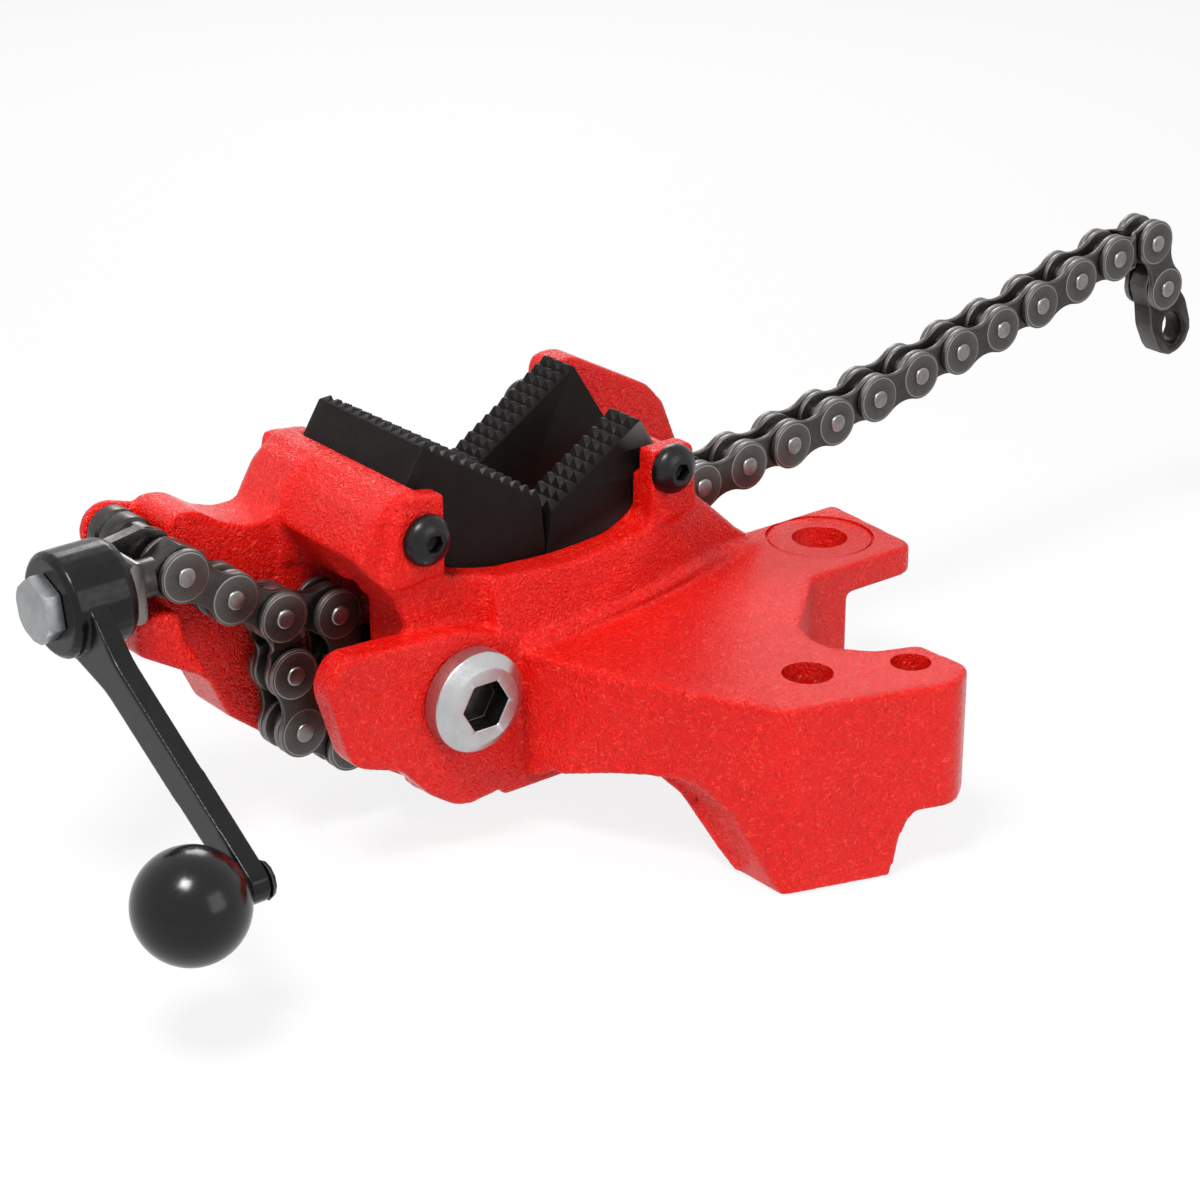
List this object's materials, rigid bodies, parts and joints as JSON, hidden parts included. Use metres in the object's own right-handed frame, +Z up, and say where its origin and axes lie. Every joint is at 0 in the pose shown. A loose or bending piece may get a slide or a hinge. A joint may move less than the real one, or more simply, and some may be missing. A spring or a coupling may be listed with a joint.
{
  "type": "chain pipe vise",
  "caption": "Bench chain pipe vise: cast base with toothed V jaws, roller chain over the pipe and a crank-driven tension screw.",
  "frame": {"origin": "middle of the near foot's sole, on the bench plane", "axes": "+X from the crank to the mounting ears, +Y along the clamped pipe away from the chain anchor's head, +Z up"},
  "size_m": [0.4839, 0.1773, 0.1254],
  "materials": {
    "red_enamel": "glossy red enamel over rough cast iron",
    "black_oxide_jaw": "black oxide on hardened tool steel",
    "black_screw": "black oxide screw",
    "chain_steel": "dark burnished oiled steel",
    "bright_steel": "satin zinc-plated steel",
    "crank_steel": "satin black coated forged steel",
    "ball_plastic": "polished black phenolic"
  },
  "bodies": {
    "vise_base": {"base_casting": "red_enamel", "left_jaw": "black_oxide_jaw", "right_jaw_near": "black_oxide_jaw", "right_jaw_far": "black_oxide_jaw", "jaw_screw_left_near": "black_screw", "jaw_screw_left_far": "black_screw", "jaw_screw_right_near": "black_screw", "jaw_screw_right_far": "black_screw", "anchor_pin": "bright_steel", "anchor_clip": "crank_steel", "trunnion": "chain_steel", "trunnion_clip": "crank_steel"},
    "crank": {"crank_handle": "crank_steel", "crank_bolt": "bright_steel", "knob_stud": "crank_steel"},
    "knob": {"ball_knob": "ball_plastic"},
    "draw_chain": {"eye_screw": "chain_steel", "pull_link_1": "chain_steel", "pull_link_2": "chain_steel", "channel_link_01": "chain_steel", "channel_link_02": "chain_steel", "channel_link_03": "chain_steel", "channel_link_04": "chain_steel", "channel_link_05": "chain_steel", "channel_link_06": "chain_steel", "channel_link_07": "chain_steel", "channel_link_08": "chain_steel", "channel_link_09": "chain_steel", "channel_link_10": "chain_steel", "channel_link_11": "chain_steel"},
    "take_off_1": {"anchor_chain_link_1": "chain_steel"},
    "take_off_2": {"anchor_chain_link_2": "chain_steel"},
    "take_off_3": {"anchor_chain_link_3": "chain_steel"},
    "free_01": {"free_link_01": "chain_steel"},
    "free_02": {"free_link_02": "chain_steel"},
    "free_03": {"free_link_03": "chain_steel"},
    "free_04": {"free_link_04": "chain_steel"},
    "free_05": {"free_link_05": "chain_steel"},
    "free_06": {"free_link_06": "chain_steel"},
    "free_07": {"free_link_07": "chain_steel"},
    "free_08": {"free_link_08": "chain_steel"},
    "free_09": {"free_link_09": "chain_steel"},
    "free_10": {"free_link_10": "chain_steel"},
    "free_11": {"free_link_11": "chain_steel"},
    "free_12": {"free_link_12": "chain_steel"},
    "end_eye": {"chain_end_eye": "chain_steel"}
  },
  "joints": [
    {"name": "crank_turn", "type": "hinge", "parent": "vise_base", "child": "crank", "pos_m": [-0.1573, 0.117, 0.09594], "axis": [0.9999, 0, 0.0122], "range_deg": [0, 1080]},
    {"name": "knob_spin", "type": "hinge", "parent": "crank", "child": "knob", "pos_m": [-0.18056, 0.03128, 0.04414], "axis": [0.9999, 0, 0.0122], "continuous": true},
    {"name": "draw_slide", "type": "slide", "parent": "vise_base", "child": "draw_chain", "axis": [-0.9999, 0, -0.0122], "range_m": [0, 0.006]},
    {"name": "take_off_hinge_1", "type": "hinge", "parent": "draw_chain", "child": "take_off_1", "pos_m": [-0.11222, 0.117, 0.0748], "axis": [0, -1, 0], "range_deg": [-2.05, 0]},
    {"name": "take_off_hinge_2", "type": "hinge", "parent": "take_off_1", "child": "take_off_2", "pos_m": [-0.09361, 0.117, 0.07075], "axis": [0, -1, 0], "range_deg": [0, 22.25]},
    {"name": "take_off_hinge_3", "type": "hinge", "parent": "take_off_2", "child": "take_off_3", "pos_m": [-0.09002, 0.117, 0.05204], "axis": [0, -1, 0], "range_deg": [-25.67, 0]},
    {"name": "chain_hinge_01", "type": "hinge", "parent": "draw_chain", "child": "free_01", "pos_m": [0.0446, 0.117, 0.0768], "axis": [0, -1, 0], "range_deg": [-4, 20]},
    {"name": "chain_hinge_02", "type": "hinge", "parent": "free_01", "child": "free_02", "pos_m": [0.06346, 0.117, 0.07945], "axis": [0, -1, 0], "range_deg": [-4, 20]},
    {"name": "chain_hinge_03", "type": "hinge", "parent": "free_02", "child": "free_03", "pos_m": [0.08233, 0.117, 0.0821], "axis": [0, -1, 0], "range_deg": [-6, 20]},
    {"name": "chain_hinge_04", "type": "hinge", "parent": "free_03", "child": "free_04", "pos_m": [0.10109, 0.117, 0.08541], "axis": [0, -1, 0], "range_deg": [-10, 20]},
    {"name": "chain_hinge_05", "type": "hinge", "parent": "free_04", "child": "free_05", "pos_m": [0.11972, 0.117, 0.08937], "axis": [0, -1, 0], "range_deg": [-12, 20]},
    {"name": "chain_hinge_06", "type": "hinge", "parent": "free_05", "child": "free_06", "pos_m": [0.13836, 0.117, 0.09333], "axis": [0, -1, 0], "range_deg": [-12, 20]},
    {"name": "chain_hinge_07", "type": "hinge", "parent": "free_06", "child": "free_07", "pos_m": [0.15692, 0.117, 0.09762], "axis": [0, -1, 0], "range_deg": [-12, 20]},
    {"name": "chain_hinge_08", "type": "hinge", "parent": "free_07", "child": "free_08", "pos_m": [0.17555, 0.117, 0.10158], "axis": [0, -1, 0], "range_deg": [-12, 20]},
    {"name": "chain_hinge_09", "type": "hinge", "parent": "free_08", "child": "free_09", "pos_m": [0.19404, 0.117, 0.10619], "axis": [0, -1, 0], "range_deg": [-12, 20]},
    {"name": "chain_hinge_10", "type": "hinge", "parent": "free_09", "child": "free_10", "pos_m": [0.21244, 0.117, 0.11112], "axis": [0, -1, 0], "range_deg": [-12, 20]},
    {"name": "chain_hinge_11", "type": "hinge", "parent": "free_10", "child": "free_11", "pos_m": [0.231, 0.117, 0.1154], "axis": [0, -1, 0], "range_deg": [-12, 20]},
    {"name": "chain_hinge_12", "type": "hinge", "parent": "free_11", "child": "free_12", "pos_m": [0.24995, 0.117, 0.11739], "axis": [0, -1, 0], "range_deg": [-15, 75]},
    {"name": "end_eye_hinge", "type": "hinge", "parent": "free_12", "child": "end_eye", "pos_m": [0.25677, 0.117, 0.09961], "axis": [0, -1, 0], "range_deg": [-60, 60]}
  ],
  "couplings": [
    {"joint": "crank_turn", "follows": "draw_slide", "rad_per_m": 3141.6},
    {"joint": "take_off_hinge_1", "follows": "draw_slide", "rad_per_m": -4.519},
    {"joint": "take_off_hinge_2", "follows": "draw_slide", "rad_per_m": 63.275},
    {"joint": "take_off_hinge_3", "follows": "draw_slide", "rad_per_m": -73.205}
  ]
}
